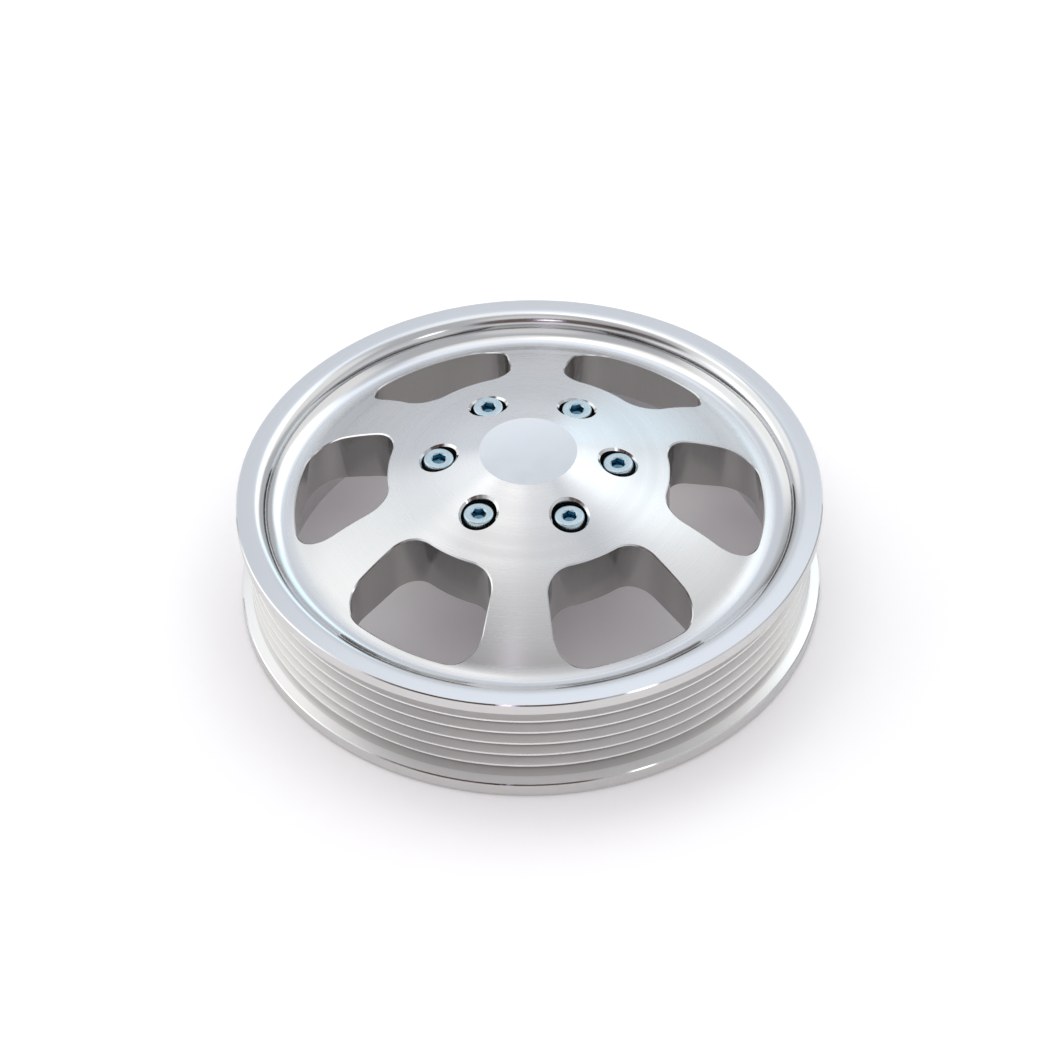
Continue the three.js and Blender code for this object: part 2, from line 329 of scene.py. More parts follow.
def rim_outside():
    """The rim from front to back: flange, shoulder, grooves, and the flange that the last one runs into."""
    points = []
    for i in range(GROOVES):
        centre = -GROOVE_CENTRE_DEPTH + ((GROOVES - 1) / 2 - i) * GROOVE_PITCH
        points += [(radius, centre + height) for radius, height in groove_outline()]
    first = points[0][1] + SHOULDER
    while points[-1][0] > CREST_RADIUS - CREST_ROUND:
        points.pop()
    last = points[-1][1] - (CREST_RADIUS - points[-1][0]) * math.tan(GROOVE_ANGLE / 2)
    return [(RIM_RADIUS, first + FLANGE_FALL), (CREST_RADIUS, first)] + points + [
        (CREST_RADIUS, last),
        (RIM_RADIUS - FINE_EDGE, last - FLANGE_FALL),
        (RIM_RADIUS, last - FLANGE_FALL - FINE_EDGE),
    ]


# ---------------------------------------------------------------- holes in the web


def resample(points, normals, count):
    """count points and normals at even steps along a path, its far end left out."""
    lengths = np.r_[0, np.cumsum(np.linalg.norm(np.diff(points, axis=0), axis=1))]
    at = np.linspace(0, lengths[-1], count + 1)[:-1]
    place = np.stack([np.interp(at, lengths, points[:, k]) for k in (0, 1)], 1)
    facing = np.stack([np.interp(at, lengths, normals[:, k]) for k in (0, 1)], 1)
    return place, facing / np.linalg.norm(facing, axis=1)[:, None]


def bend(centre, size, start, end, side=1):
    """Points on an arc in plan, with normals that point out of the hole."""
    angles = np.linspace(start, end, BEND_STEPS)
    facing = np.stack([np.cos(angles), np.sin(angles)], 1)
    return np.asarray(centre) + size * facing, side * facing


def window_loop(side_steps):
    """The window's outline round its middle line along +X: outer edge, side, inner edge, side."""
    half, quarter = WINDOW_HALF_ANGLE, math.pi / 2
    outer, inner = WINDOW_OUTER - WINDOW_CORNER, WINDOW_INNER + WINDOW_CORNER
    outer_turn = half - math.asin(WINDOW_CORNER / outer)
    inner_turn = half - math.asin(WINDOW_CORNER / inner)
    far = [(outer * math.cos(t), outer * math.sin(t)) for t in (-outer_turn, outer_turn)]
    near = [(inner * math.cos(t), inner * math.sin(t)) for t in (-inner_turn, inner_turn)]
    far_middle = (outer_turn + half + quarter) / 2
    near_middle = (half + quarter + inner_turn + math.pi) / 2
    full = 2 * math.pi
    pieces = [
        [
            bend(far[0], WINDOW_CORNER, -far_middle, -outer_turn),
            bend((0, 0), WINDOW_OUTER, -outer_turn, outer_turn),
            bend(far[1], WINDOW_CORNER, outer_turn, far_middle),
        ],
        [
            bend(far[1], WINDOW_CORNER, far_middle, half + quarter),
            bend(near[1], WINDOW_CORNER, half + quarter, near_middle),
        ],
        [
            bend(near[1], WINDOW_CORNER, near_middle, inner_turn + math.pi),
            bend((0, 0), WINDOW_INNER, inner_turn, -inner_turn, -1),
            bend(near[0], WINDOW_CORNER, math.pi - inner_turn, full - near_middle),
        ],
        [
            bend(near[0], WINDOW_CORNER, full - near_middle, full - half - quarter),
            bend(far[0], WINDOW_CORNER, full - half - quarter, full - far_middle),
        ],
    ]
    counts = (SECTOR_STEPS, side_steps, SECTOR_STEPS, side_steps)
    made = []
    for piece, count in zip(pieces, counts):
        points = np.concatenate([part[0] for part in piece])
        normals = np.concatenate([part[1] for part in piece])
        made.append(resample(points, normals, count))
    return np.concatenate([m[0] for m in made]), np.concatenate([m[1] for m in made])


def round_loop(size, side_steps):
    """A screw hole's outline, in step with the sector's edge."""
    count = 2 * (SECTOR_STEPS + side_steps)
    angles = (np.arange(count) - SECTOR_STEPS / 2) * 2 * math.pi / count
    facing = np.stack([np.cos(angles), np.sin(angles)], 1)
    return np.array([SCREW_CIRCLE, 0]) + size * facing, facing


def sector_edge(sides):
    """(radius, angle) points round one sector: outer edge, side, inner edge, side. sides holds the radii
    of a side's points."""
    half = math.pi / SPOKES
    inner, outer = sides[0], sides[-1]
    across = np.linspace(-half, half, SECTOR_STEPS + 1)
    return np.concatenate([
        np.column_stack([np.full(SECTOR_STEPS, outer), across[:-1]]),
        np.column_stack([sides[::-1][:-1], np.full(len(sides) - 1, half)]),
        np.column_stack([np.full(SECTOR_STEPS, inner), across[::-1][:-1]]),
        np.column_stack([sides[:-1], np.full(len(sides) - 1, -half)]),
    ])


def turned_by(points, angle):
    """Plan points turned about the axis."""
    c, s = math.cos(angle), math.sin(angle)
    return points @ np.array([[c, s], [-s, c]])


def holed_sectors(shell, loop, side_radii, height, finish, rings):
    """The web's surface round one hole, repeated for each spoke. loop is the hole's edge in plan."""
    edge = sector_edge(side_radii)
    start = np.column_stack([np.hypot(loop[:, 0], loop[:, 1]), np.arctan2(loop[:, 1], loop[:, 0])])
    for spoke_angle in SPOKE_ANGLES:
        rows = []
        for share in np.linspace(0, 1, rings + 1) ** RING_CROWDING:
            radius, angle = (start * (1 - share) + edge * share).T
            angle = angle + spoke_angle
            rows.append(np.column_stack([radius * np.cos(angle), radius * np.sin(angle), height(radius)]))
        shell.grid(rows, finish, closed=True)


def hole_wall(shell, loops, finish):
    """A band of faces between loops of (plan points, heights), repeated for each spoke."""
    for angle in SPOKE_ANGLES:
        shell.grid([np.column_stack([turned_by(p, angle), h]) for p, h in loops], finish, closed=True)


def radii(loop):
    """Each plan point's distance from the axis."""
    return np.hypot(loop[:, 0], loop[:, 1])


# ---------------------------------------------------------------- materials


TO_MM = (1000.0, 1000.0, 1000.0)
ALONG_Z = (1000.0, 1000.0, 60.0)  # stretches a grain into lines along Z
FLAT_MM = (1000.0, 1000.0, 0.0)
NOISE_LOW, NOISE_HIGH = 0.25, 0.75  # the values that a noise pattern mostly runs between
BROAD_RINGS = 0.12  # broad rings to each fine one
BROAD_GRAIN = 0.1  # clouds to each grain
CLOUDS = 0.06  # clouds in each millimetre of turned metal
BROAD_UNEVEN, GRAIN_UNEVEN, CLOUD_UNEVEN = 0.02, 0.05, 0.04  # how much each varies the roughness


def shader(name):
    """A new material with an empty node tree, its Principled shader and its output."""
    material = bpy.data.materials.new(name)
    material.use_nodes = True
    tree = material.node_tree
    tree.nodes.clear()
    output = tree.nodes.new("ShaderNodeOutputMaterial")
    principled = tree.nodes.new("ShaderNodeBsdfPrincipled")
    tree.links.new(principled.outputs["BSDF"], output.inputs["Surface"])
    return material, tree, principled


def node(tree, kind, settings=None, **inputs):
    """A node with its settings, and inputs that are values or other nodes' outputs."""
    made = tree.nodes.new(kind)
    for key, value in (settings or {}).items():
        setattr(made, key, value)
    for key, value in inputs.items():
        socket = made.inputs[int(key[1:])] if key[0] == "_" else made.inputs[key]
        if isinstance(value, bpy.types.NodeSocket):
            tree.links.new(value, socket)
        else:
            socket.default_value = value
    return made


def maths(tree, operation, first, second):
    """The result of a sum on two values or outputs."""
    return node(tree, "ShaderNodeMath", {"operation": operation}, _0=first, _1=second).outputs[0]


def vector_maths(tree, operation, **inputs):
    """A vector operation's node, whose first output is a vector and whose second is a value."""
    return node(tree, "ShaderNodeVectorMath", {"operation": operation}, **inputs)


def ramp(tree, value, start, end, low=0.0, high=1.0, kind="SMOOTHSTEP"):
    """value mapped from the stretch start to end onto low to high, and held there beyond it."""
    made = node(tree, "ShaderNodeMapRange", {"interpolation_type": kind}, Value=value)
    limits = {"From Min": start, "From Max": end, "To Min": low, "To Max": high}
    for limit, setting in limits.items():
        made.inputs[limit].default_value = setting
    return made.outputs[0]


def mixed_colour(tree, share, first, second):
    """The first colour where share is 0 and the second where it is 1."""
    made = node(tree, "ShaderNodeMix", {"data_type": "RGBA"}, Factor=share, _6=first, _7=second)
    return made.outputs[2]


def place(tree, scale=TO_MM):
    """The point on the piece, in millimetres unless scaled otherwise."""
    point = node(tree, "ShaderNodeTexCoord").outputs["Object"]
    return vector_maths(tree, "MULTIPLY", _0=point, _1=scale).outputs[0]


def axis_distance(tree):
    """Distance from the piece's Z axis, in millimetres."""
    return vector_maths(tree, "LENGTH", _0=place(tree, FLAT_MM)).outputs["Value"]


def noise(tree, point, scale, detail, roughness=0.5):
    """Cloudy noise in space."""
    made = node(tree, "ShaderNodeTexNoise", {"noise_dimensions": "3D"}, Vector=point, Scale=scale)
    made.inputs["Detail"].default_value = detail
    made.inputs["Roughness"].default_value = roughness
    return made.outputs[0]


def line_noise(tree, distance, scale, detail, roughness=0.6):
    """Noise that changes with distance only, which gives rings."""
    made = node(tree, "ShaderNodeTexNoise", {"noise_dimensions": "1D"}, W=distance, Scale=scale)
    made.inputs["Detail"].default_value = detail
    made.inputs["Roughness"].default_value = roughness
    return made.outputs[0]


def spread(tree, pattern, reach):
    """A noise pattern stretched to run from -reach to reach."""
    return ramp(tree, pattern, NOISE_LOW, NOISE_HIGH, -reach, reach, "LINEAR")


def tint(tree, value, dark, light):
    """Colours from dark to light, as value runs from 0 to 1."""
    return mixed_colour(tree, value, (*dark, 1), (*light, 1))


def average(tree, first, second, share):
    """Two patterns mixed, with that share of the first."""
    parts = [maths(tree, "MULTIPLY", first, share), maths(tree, "MULTIPLY", second, 1 - share)]
    return maths(tree, "ADD", *parts)


def vary_roughness(tree, principled, roughness, first, second):
    """Sets a roughness that varies with two patterns."""
    level = maths(tree, "ADD", first, second)
    tree.links.new(maths(tree, "ADD", level, roughness), principled.inputs["Roughness"])


def relief(tree, pattern, depth, principled):
    """Bumps in that pattern and of that depth, in millimetres, on the shader."""
    height = maths(tree, "MULTIPLY", pattern, depth)
    bump = node(tree, "ShaderNodeBump", Height=height, Distance=MM, Strength=1.0)
    tree.links.new(bump.outputs[0], principled.inputs["Normal"])


def turned_metal(name, dark, light, roughness, depth, pitch, stretch=0.8, darkening=None, uneven=0.03):
    """Metal with the fine rings that a lathe tool leaves, of that depth and pitch in millimetres.

    stretch is how far a glint draws out across the rings. darkening is the radius where the colour is
    darkest, the radius where it is full again, and the share of its brightness that it keeps at the
    darkest; on the grooves it is painted shade.
    uneven is how much the roughness varies from ring to ring."""
    material, tree, principled = shader(name)
    distance = axis_distance(tree)
    fine = line_noise(tree, distance, 1 / pitch, detail=4.0, roughness=0.7)
    broad = line_noise(tree, distance, BROAD_RINGS / pitch, detail=1.0)
    cloud = noise(tree, place(tree), CLOUDS, detail=2.0)
    principled.inputs["Metallic"].default_value = 1.0
    principled.inputs["Anisotropic"].default_value = stretch
    principled.inputs["Anisotropic Rotation"].default_value = 0.25
    tangent = node(tree, "ShaderNodeTangent", {"direction_type": "RADIAL", "axis": "Z"})
    tree.links.new(tangent.outputs[0], principled.inputs["Tangent"])
    colour = tint(tree, average(tree, fine, cloud, 0.6), dark, light)
    # the colour is darkened between two radii, which on the grooves is painted shade
    if darkening:
        darkest_radius, bright, kept = darkening
        brightness_share = ramp(tree, distance, darkest_radius, bright, low=kept)
        colour = vector_maths(tree, "SCALE", _0=colour, Scale=brightness_share).outputs[0]
    tree.links.new(colour, principled.inputs["Base Color"])
    rings = spread(tree, fine, uneven), spread(tree, broad, BROAD_UNEVEN)
    vary_roughness(tree, principled, roughness, *rings)
    relief(tree, fine, depth, principled)
    return material


def grained_metal(name, dark, light, roughness, depth, grain, scale=TO_MM):
    """Metal with a grain of that size in millimetres. scale stretches it, as a cutter or a die does."""
    material, tree, principled = shader(name)
    point = place(tree, scale)
    fine = noise(tree, point, 1 / grain, detail=3.0, roughness=0.6)
    cloud = noise(tree, point, BROAD_GRAIN / grain, detail=2.0)
    principled.inputs["Metallic"].default_value = 1.0
    colour = tint(tree, average(tree, fine, cloud, 0.5), dark, light)
    tree.links.new(colour, principled.inputs["Base Color"])
    patterns = spread(tree, fine, GRAIN_UNEVEN), spread(tree, cloud, CLOUD_UNEVEN)
    vary_roughness(tree, principled, roughness, *patterns)
    relief(tree, fine, depth, principled)
    return material


# Darkest and lightest colours
ALUMINIUM = ((0.655, 0.66, 0.67), (0.715, 0.72, 0.73))
WEB_ALUMINIUM = ((0.745, 0.75, 0.76), (0.805, 0.81, 0.82))
DISC_ALUMINIUM = ((0.69, 0.70, 0.71), (0.74, 0.75, 0.76))
SLOPE_ALUMINIUM = ((0.77, 0.765, 0.76), (0.87, 0.865, 0.86))
GROOVE_ALUMINIUM = ((0.59, 0.58, 0.57), (0.71, 0.70, 0.69))
MILLED_ALUMINIUM = ((0.44, 0.43, 0.42), (0.56, 0.55, 0.54))
CREST_ALUMINIUM = ((0.74, 0.74, 0.74), (0.84, 0.84, 0.84))
BACK_ALUMINIUM = ((0.70, 0.705, 0.715), (0.82, 0.825, 0.83))
SHADED = ((0.04, 0.04, 0.042), (0.08, 0.08, 0.083))
STEEL = ((0.10, 0.097, 0.093), (0.17, 0.165, 0.16))
KEY_STEEL = ((0.45, 0.46, 0.47), (0.58, 0.59, 0.60))
ZINC = ((0.30, 0.41, 0.46), (0.66, 0.76, 0.80))
SOCKET_SHADED_ZINC = ((0.05, 0.17, 0.26), (0.28, 0.52, 0.64))
BLACK = ((0.03, 0.03, 0.033), (0.06, 0.06, 0.065))

# The web's colour is a little darker from the screws outwards, and full near its centre.
WEB_DARKENING = (27, 13, 0.88)
# Painted shade: the grooves' colour is darkened at their bottoms, where shade falls, and full from a little
# over half way up.
GROOVE_PAINTED_SHADE = (CREST_RADIUS - GROOVE_DEPTH, CREST_RADIUS - 0.45 * GROOVE_DEPTH, 0.1)

# After the colours come roughness, depth and pitch, or roughness, depth and grain.
web_finish = turned_metal(
    "web_turned", *WEB_ALUMINIUM, 0.28, 0.0002, 0.45, stretch=0.95, darkening=WEB_DARKENING, uneven=0.015
)
rim_finish = turned_metal("rim_turned", *ALUMINIUM, 0.13, 0.0006, 0.35, stretch=0.7)
disc_finish = grained_metal("disc_faced", *DISC_ALUMINIUM, 0.21, 0.001, 0.4)
slope_finish = turned_metal("flange_slope_turned", *SLOPE_ALUMINIUM, 0.36, 0.002, 0.3, stretch=0.5)
groove_finish = turned_metal(
    "grooves_turned", *GROOVE_ALUMINIUM, 0.32, 0.002, 0.3, stretch=0.5, darkening=GROOVE_PAINTED_SHADE
)
milled_finish = grained_metal("windows_milled", *MILLED_ALUMINIUM, 0.17, 0.0015, 0.5, ALONG_Z)
edge_finish = grained_metal("edges_broken", *ALUMINIUM, 0.06, 0.001, 0.6)
window_edge_finish = grained_metal("window_edges_broken", *ALUMINIUM, 0.15, 0.001, 0.6)
crest_finish = grained_metal("crests_bright", *CREST_ALUMINIUM, 0.24, 0.001, 0.4)
# Painted shade: near black colour on the counterbores' deep walls and floors, the clearance holes and the
# rim's lowest edge, for the shade in them.
bore_painted_shade = grained_metal("bores_painted_shade", *SHADED, 0.5, 0.003, 0.3)
back_finish = turned_metal("back_turned", *BACK_ALUMINIUM, 0.36, 0.006, 0.6)
hub_finish = turned_metal("hub_turned", *STEEL, 0.45, 0.006, 0.4, stretch=0.5)
zinc_finish = grained_metal("zinc_plate", *ZINC, 0.26, 0.006, 0.35)
# Painted shade: the socket's walls are a darker, bluer zinc, for the shade and the inner reflections in the
# socket.
socket_painted_shade = grained_metal("zinc_socket_painted_shade", *SOCKET_SHADED_ZINC, 0.16, 0.004, 0.3)
zinc_side_finish = grained_metal("zinc_rolled", *ZINC, 0.32, 0.004, 0.3)
black_finish = grained_metal("black_oxide", *BLACK, 0.4, 0.004, 0.2)
key_finish = grained_metal("key_steel", *KEY_STEEL, 0.34, 0.004, 0.3, ALONG_Z)


# ---------------------------------------------------------------- the wheel

WEB, RIM, DISC, GROOVE, MILLED, BROKEN, PAINTED_SHADE, BACK, CREST, SLOPE, WINDOW_EDGE = range(11)
WHEEL_FINISHES = [
    web_finish, rim_finish, disc_finish, groove_finish, milled_finish, edge_finish,
    bore_painted_shade, back_finish, crest_finish, slope_finish, window_edge_finish,
]


def graded(first, last, count, power=1.0):
    """Radii from first to last, which crowd towards last where power is above 1."""
    return last - (last - first) * np.linspace(1, 0, count + 1) ** power


def radial(first, last, count, height):
    """Profile points at even radii from first to last, on a surface of that height."""
    return [(r, float(height(r))) for r in np.linspace(first, last, count + 1)]


def pulley_wheel():
    """The wheel as one closed mesh. Its surface is made in rings, plain ones and ones with six holes."""
    shell = Shell()
    screws_from, screws_to = 14.5, 27.0
    windows_from, windows_to = 29.5, 56.0
    back_from, back_to = 29.0, 55.5
    seat_from, seat_to = 13.0, 25.0

    # front: disc, cone with screw holes, dome with windows, fillet, round, flange face
    shell.turned(radial(0, CENTRE_RADIUS, 6, disc), DISC)
    shell.turned(radial(CENTRE_RADIUS, screws_from, 5, front), WEB)
    side = graded(screws_from, screws_to, SCREW_SIDE_STEPS)
    loop, facing = round_loop(COUNTERBORE_RADIUS, SCREW_SIDE_STEPS)
    wide = loop + COUNTERBORE_CHAMFER * facing
    holed_sectors(shell, wide, side, front, WEB, 8)
    lip = front(radii(loop)) - COUNTERBORE_CHAMFER
    floor = np.full(len(loop), HEAD_SEAT)
    hole_wall(shell, [(wide, front(radii(wide))), (loop, lip)], BROKEN)
    level = np.minimum(lip - COUNTERBORE_BRIGHT, HEAD_SEAT + HEAD_HEIGHT)
    hole_wall(shell, [(loop, lip), (loop, level)], MILLED)
    # the counterbore's wall below that band is painted shade
    hole_wall(shell, [(loop, level), (loop, floor)], PAINTED_SHADE)
    shell.turned(radial(screws_to, windows_from, 4, front), WEB)
    side = graded(windows_from, windows_to, WINDOW_SIDE_STEPS, WINDOW_CROWDING)
    outline, outward = window_loop(WINDOW_SIDE_STEPS)
    wide_outline = outline + WINDOW_CHAMFER * outward
    holed_sectors(shell, wide_outline, side, front, WEB, 12)
    hollow_end = angle_of(FILLET_CENTRE, (windows_to, float(front(windows_to)))) % (2 * math.pi)
    crease_turn = angle_of(FILLET_CENTRE, CREASE) % (2 * math.pi)
    shell.turned(arc(FILLET_CENTRE, FILLET_RADIUS, hollow_end, crease_turn), RIM)
    round_turn = angle_of(ROUND_CENTRE, CREASE)
    shell.turned(arc(ROUND_CENTRE, ROUND_RADIUS, round_turn, math.pi / 2, step=math.radians(5)), RIM)
    shell.turned(run((ROUND_CENTRE[0], RIM_FRONT), (RIM_RADIUS - FINE_EDGE, RIM_FRONT), 4), RIM)
    shell.turned([(RIM_RADIUS - FINE_EDGE, RIM_FRONT), (RIM_RADIUS, -FINE_EDGE)], BROKEN)

    # outside: flanges and grooves
    outside = rim_outside()
    shell.turned(run((RIM_RADIUS, -FINE_EDGE), outside[0], 2), GROOVE)
    shell.turned(outside[:2], GROOVE)
    shell.turned(outside[-3:-1], SLOPE)
    shell.turned(outside[-2:], BROKEN)
    for part in zip(outside[1:-3], outside[2:-2]):
        on_crest = min(part)[0] > CREST_RADIUS - CREST_ROUND
        shell.turned(part, CREST if on_crest else GROOVE)
    shell.turned(run(outside[-1], (RIM_RADIUS, RIM_BACK + EDGE), 2), GROOVE)
    # the rim's lowest edge is painted shade, for the shade where it meets the floor
    shell.turned([(RIM_RADIUS, RIM_BACK + EDGE), (RIM_RADIUS - EDGE, RIM_BACK)], PAINTED_SHADE)

    # back: rim face, bore, fillet, cone with windows, register, seat with screw holes, pocket
    shell.turned(run((RIM_RADIUS - EDGE, RIM_BACK), (RIM_BORE + EDGE, RIM_BACK), 4), BACK)
    shell.turned([(RIM_BORE + EDGE, RIM_BACK), (RIM_BORE, RIM_BACK + EDGE)], BROKEN)
    middle = RIM_BORE - BACK_FILLET
    centre = (middle, float(back(middle)) - BACK_FILLET / math.cos(BACK_SLOPE))
    shell.turned(run((RIM_BORE, RIM_BACK + EDGE), (RIM_BORE, centre[1]), 4), BACK)
    shell.turned(arc(centre, BACK_FILLET, 0, math.pi / 2 - BACK_SLOPE), BACK)
    cone_end = centre[0] + BACK_FILLET * math.sin(BACK_SLOPE)
    shell.turned(radial(cone_end, back_to, 1, back), BACK)
    side = graded(back_from, back_to, WINDOW_SIDE_STEPS)
    holed_sectors(shell, wide_outline, side, back, BACK, 8)
    shell.turned(radial(back_from, REGISTER_RADIUS, 3, back), BACK)
    register_edge = (REGISTER_RADIUS, float(back(REGISTER_RADIUS)))
    shell.turned(run(register_edge, (REGISTER_RADIUS, -SEAT_DEPTH), 2), BACK)
    shell.turned(run((REGISTER_RADIUS, -SEAT_DEPTH), (seat_to, -SEAT_DEPTH), 1), BACK)
    side = graded(seat_from, seat_to, SCREW_SIDE_STEPS)
    hole, hole_facing = round_loop(CLEARANCE_RADIUS, SCREW_SIDE_STEPS)
    wide_hole = hole + EDGE / 2 * hole_facing
    holed_sectors(shell, wide_hole, side, seat, BACK, 6)
    shell.turned(run((seat_from, -SEAT_DEPTH), (POCKET_RADIUS, -SEAT_DEPTH), 2), BACK)
    pocket_top = POCKET_DEPTH - SEAT_DEPTH
    pocket_corner = (POCKET_RADIUS - 2 * EDGE, pocket_top)
    pocket_wall = [(POCKET_RADIUS, -SEAT_DEPTH), (POCKET_RADIUS, pocket_top - 2 * EDGE)]
    shell.turned(pocket_wall + [pocket_corner], BACK)
    shell.turned(run(pocket_corner, (0, pocket_top), 4), BACK)

    # through the web: window walls with broken edges, and the screws' clearance holes
    top = front(radii(outline)) - WINDOW_CHAMFER
    bottom = back(radii(outline)) + WINDOW_CHAMFER
    hole_wall(shell, [(wide_outline, front(radii(wide_outline))), (outline, top)], WINDOW_EDGE)
    hole_wall(shell, [(outline, top * (1 - s) + bottom * s) for s in np.linspace(0, 1, 5)], MILLED)
    hole_wall(shell, [(outline, bottom), (wide_outline, back(radii(wide_outline)))], WINDOW_EDGE)
    low = np.full(len(hole), -SEAT_DEPTH)
    # the counterbore's floor and the clearance hole are painted shade
    hole_wall(shell, [(loop, floor), (wide_hole, floor)], PAINTED_SHADE)
    hole_wall(shell, [(wide_hole, floor), (hole, floor - EDGE / 2)], PAINTED_SHADE)
    hole_wall(shell, [(hole, floor - EDGE / 2), (hole, low + EDGE / 2), (wide_hole, low)], PAINTED_SHADE)
    return shell.build("wheel", WHEEL_FINISHES, lift=RIM_WIDTH)


# ---------------------------------------------------------------- screws


def circle(size, height, columns):
    """A ring of points about the Z axis; size may be one radius or one for each point."""
    angles = np.arange(columns) * 2 * math.pi / columns
    sizes = np.broadcast_to(size, (columns,))
    return np.column_stack([sizes * np.cos(angles), sizes * np.sin(angles), np.full(columns, height)])


def thread(shell, low, high, finish, rows_per_turn=8):
    """A helical thread of about 60 degrees from one height to the other, fading out at both ends."""
    start, end = low - THREAD_PITCH, high + THREAD_PITCH
    count = math.ceil((end - start) / THREAD_PITCH) * rows_per_turn
    angles = np.arange(SHANK_COLUMNS + 1) * 2 * math.pi / SHANK_COLUMNS
    crest, root = 0.12, 0.88  # shares of half a turn at which the flank starts and ends
    rows = []
    for i in range(count + 1):
        phase = i / rows_per_turn
        heights = start + (phase - angles / (2 * math.pi)) * THREAD_PITCH
        flank = abs((phase % 1) * 2 - 1)
        cut = min(max((flank - crest) / (root - crest), 0), 1)
        fade = np.clip(np.minimum(heights - low, high - heights) / THREAD_PITCH, 0, 1)
        size = THREAD_CORE + THREAD_DEPTH * (1 - cut) * fade
        heights = np.clip(heights, low, high)
        rows.append(np.column_stack([size * np.cos(angles), size * np.sin(angles), heights]))
    shell.grid(rows, finish)


def hexagon_radius(width, columns):
    """Distance from the axis to a hexagon's side at each column. The first column is at a corner."""
    sixth = math.pi / 3
    angles = np.arange(columns) * 2 * math.pi / columns
    return width / 2 / np.cos((angles % sixth) - sixth / 2)


def socket(shell, top, width, depth, edge, point, finishes, columns):
    """A hexagon socket in a flat face: countersunk mouth, six walls and a drilled cone of depth point."""
    face, inside = finishes
    mouth = width / math.sqrt(3) * SOCKET_MOUTH
    walls = hexagon_radius(width, columns)
    lip = top - (mouth - walls) * math.tan(COUNTERSINK)
    foot = top - depth
    rim = circle(mouth, top, columns)
    shell.grid([circle(s, top, columns) for s in np.linspace(edge, mouth, 4)], face, closed=True)
    upper, lower = circle(walls, 0, columns), circle(walls, foot, columns)
    upper[:, 2] = lip
    shell.grid([rim, upper], face, closed=True)
    shell.grid([upper, (upper + lower) / 2, lower], inside, closed=True)
    drill = width * SOCKET_DRILL
    cone = [circle(drill * s, foot - point * (1 - s), columns) for s in (1, 0.5, 0)]
    shell.grid([lower] + cone, inside, closed=True)


def cap_screw(number):
    """A knurled socket-head cap screw, modelled about its own axis from its tip up."""
    low, high = box_of(f"cap_screw_{number}")
    top = high.z - low.z
    under = top - HEAD_HEIGHT
    plate, rolled, well = range(3)
    shell = Shell()
    tip = [circle(THREAD_CORE * s, 0, SHANK_COLUMNS) for s in (0, 0.5, 1)]
    shell.grid(tip, rolled, closed=True)
    neck = under - NECK
    thread(shell, 0, neck, rolled)
    shank = [(THREAD_CORE, neck), (NECK_RADIUS, neck + NECK_TAPER), (NECK_RADIUS, under - NECK_FILLET)]
    shell.turned(shank + [(THREAD_RADIUS, under)], rolled, SHANK_COLUMNS)
    foot = HEAD_RADIUS - HEAD_UNDERCUT
    washer_face = circle(foot, under, HEAD_COLUMNS)
    shell.annulus(circle(THREAD_RADIUS, under, SHANK_COLUMNS), washer_face, rolled)
    angles = np.arange(HEAD_COLUMNS) * 2 * math.pi / HEAD_COLUMNS
    ridges = HEAD_RADIUS - KNURL_DEPTH * (0.5 - 0.5 * np.cos(angles * KNURLS))
    smooth = HEAD_RADIUS - KNURL_DEPTH
    knurl_end = KNURL_TOP + KNURL_FADE
    side = [(foot, 0), (smooth, KNURL_FOOT - KNURL_FADE), (ridges, KNURL_FOOT), (ridges, KNURL_TOP)]
    side.append((smooth, knurl_end))
    shell.grid([circle(size, under + h, HEAD_COLUMNS) for size, h in side], rolled, closed=True)
    round_centre = (smooth - HEAD_ROUND, top - HEAD_ROUND)
    bevel = arc(round_centre, HEAD_ROUND, 0, math.pi / 2, step=math.radians(10))
    land = HEAD_RADIUS - HEAD_RING
    shell.turned([(smooth, under + knurl_end)] + bevel + [(land, top)], plate, HEAD_COLUMNS)
    socket(shell, top, SOCKET_WIDTH, SOCKET_DEPTH, land, SOCKET_POINT, (plate, well), HEAD_COLUMNS)
    finishes = [zinc_finish, zinc_side_finish, socket_painted_shade]
    piece = shell.build(f"cap_screw_{number}_body", finishes, SCREW_SHARP)
    middle = (low + high) / 2
    piece.location = Vector((middle.x, middle.y, low.z)) * MM
    piece.rotation_euler.z = math.radians(HEX_TURN * number)
    return piece


def grub_screw(node_name, direction):
    """A cup-point grub screw, modelled along +Z from its point and laid along direction."""
    low, high = box_of(node_name)
    direction = Vector(direction)
    length = (high - low).dot(direction)
    shell = Shell()
    cup = [(0, CUP_DEPTH), (CUP_RADIUS, 0), (CUP_RIM_RADIUS, 0), (THREAD_CORE, CUP_BEVEL)]
    shell.turned(cup, 0, SHANK_COLUMNS)
    thread_top = length - GRUB_BEVEL
    thread(shell, CUP_BEVEL, thread_top, 0)
    land = THREAD_CORE - GRUB_BEVEL_WIDTH
    shell.turned([(THREAD_CORE, thread_top), (land, length)], 0, SHANK_COLUMNS)
    socket(shell, length, GRUB_SOCKET, GRUB_SOCKET_DEPTH, land, GRUB_SOCKET_POINT, (0, 0), SHANK_COLUMNS)
    piece = shell.build(f"{node_name}_body", [black_finish], SCREW_SHARP)
    middle = (low + high) / 2
    piece.location = (middle - direction * length / 2) * MM
    piece.rotation_euler = direction.to_track_quat("Z", "X").to_euler()
    return piece


# ---------------------------------------------------------------- hub and key


def cutter(name, profile):
    """A turned tool about the Z axis, for cutting holes."""
    shell = Shell()
    shell.turned(profile, 0, CUTTER_COLUMNS)
    return shell.build(name, [hub_finish])


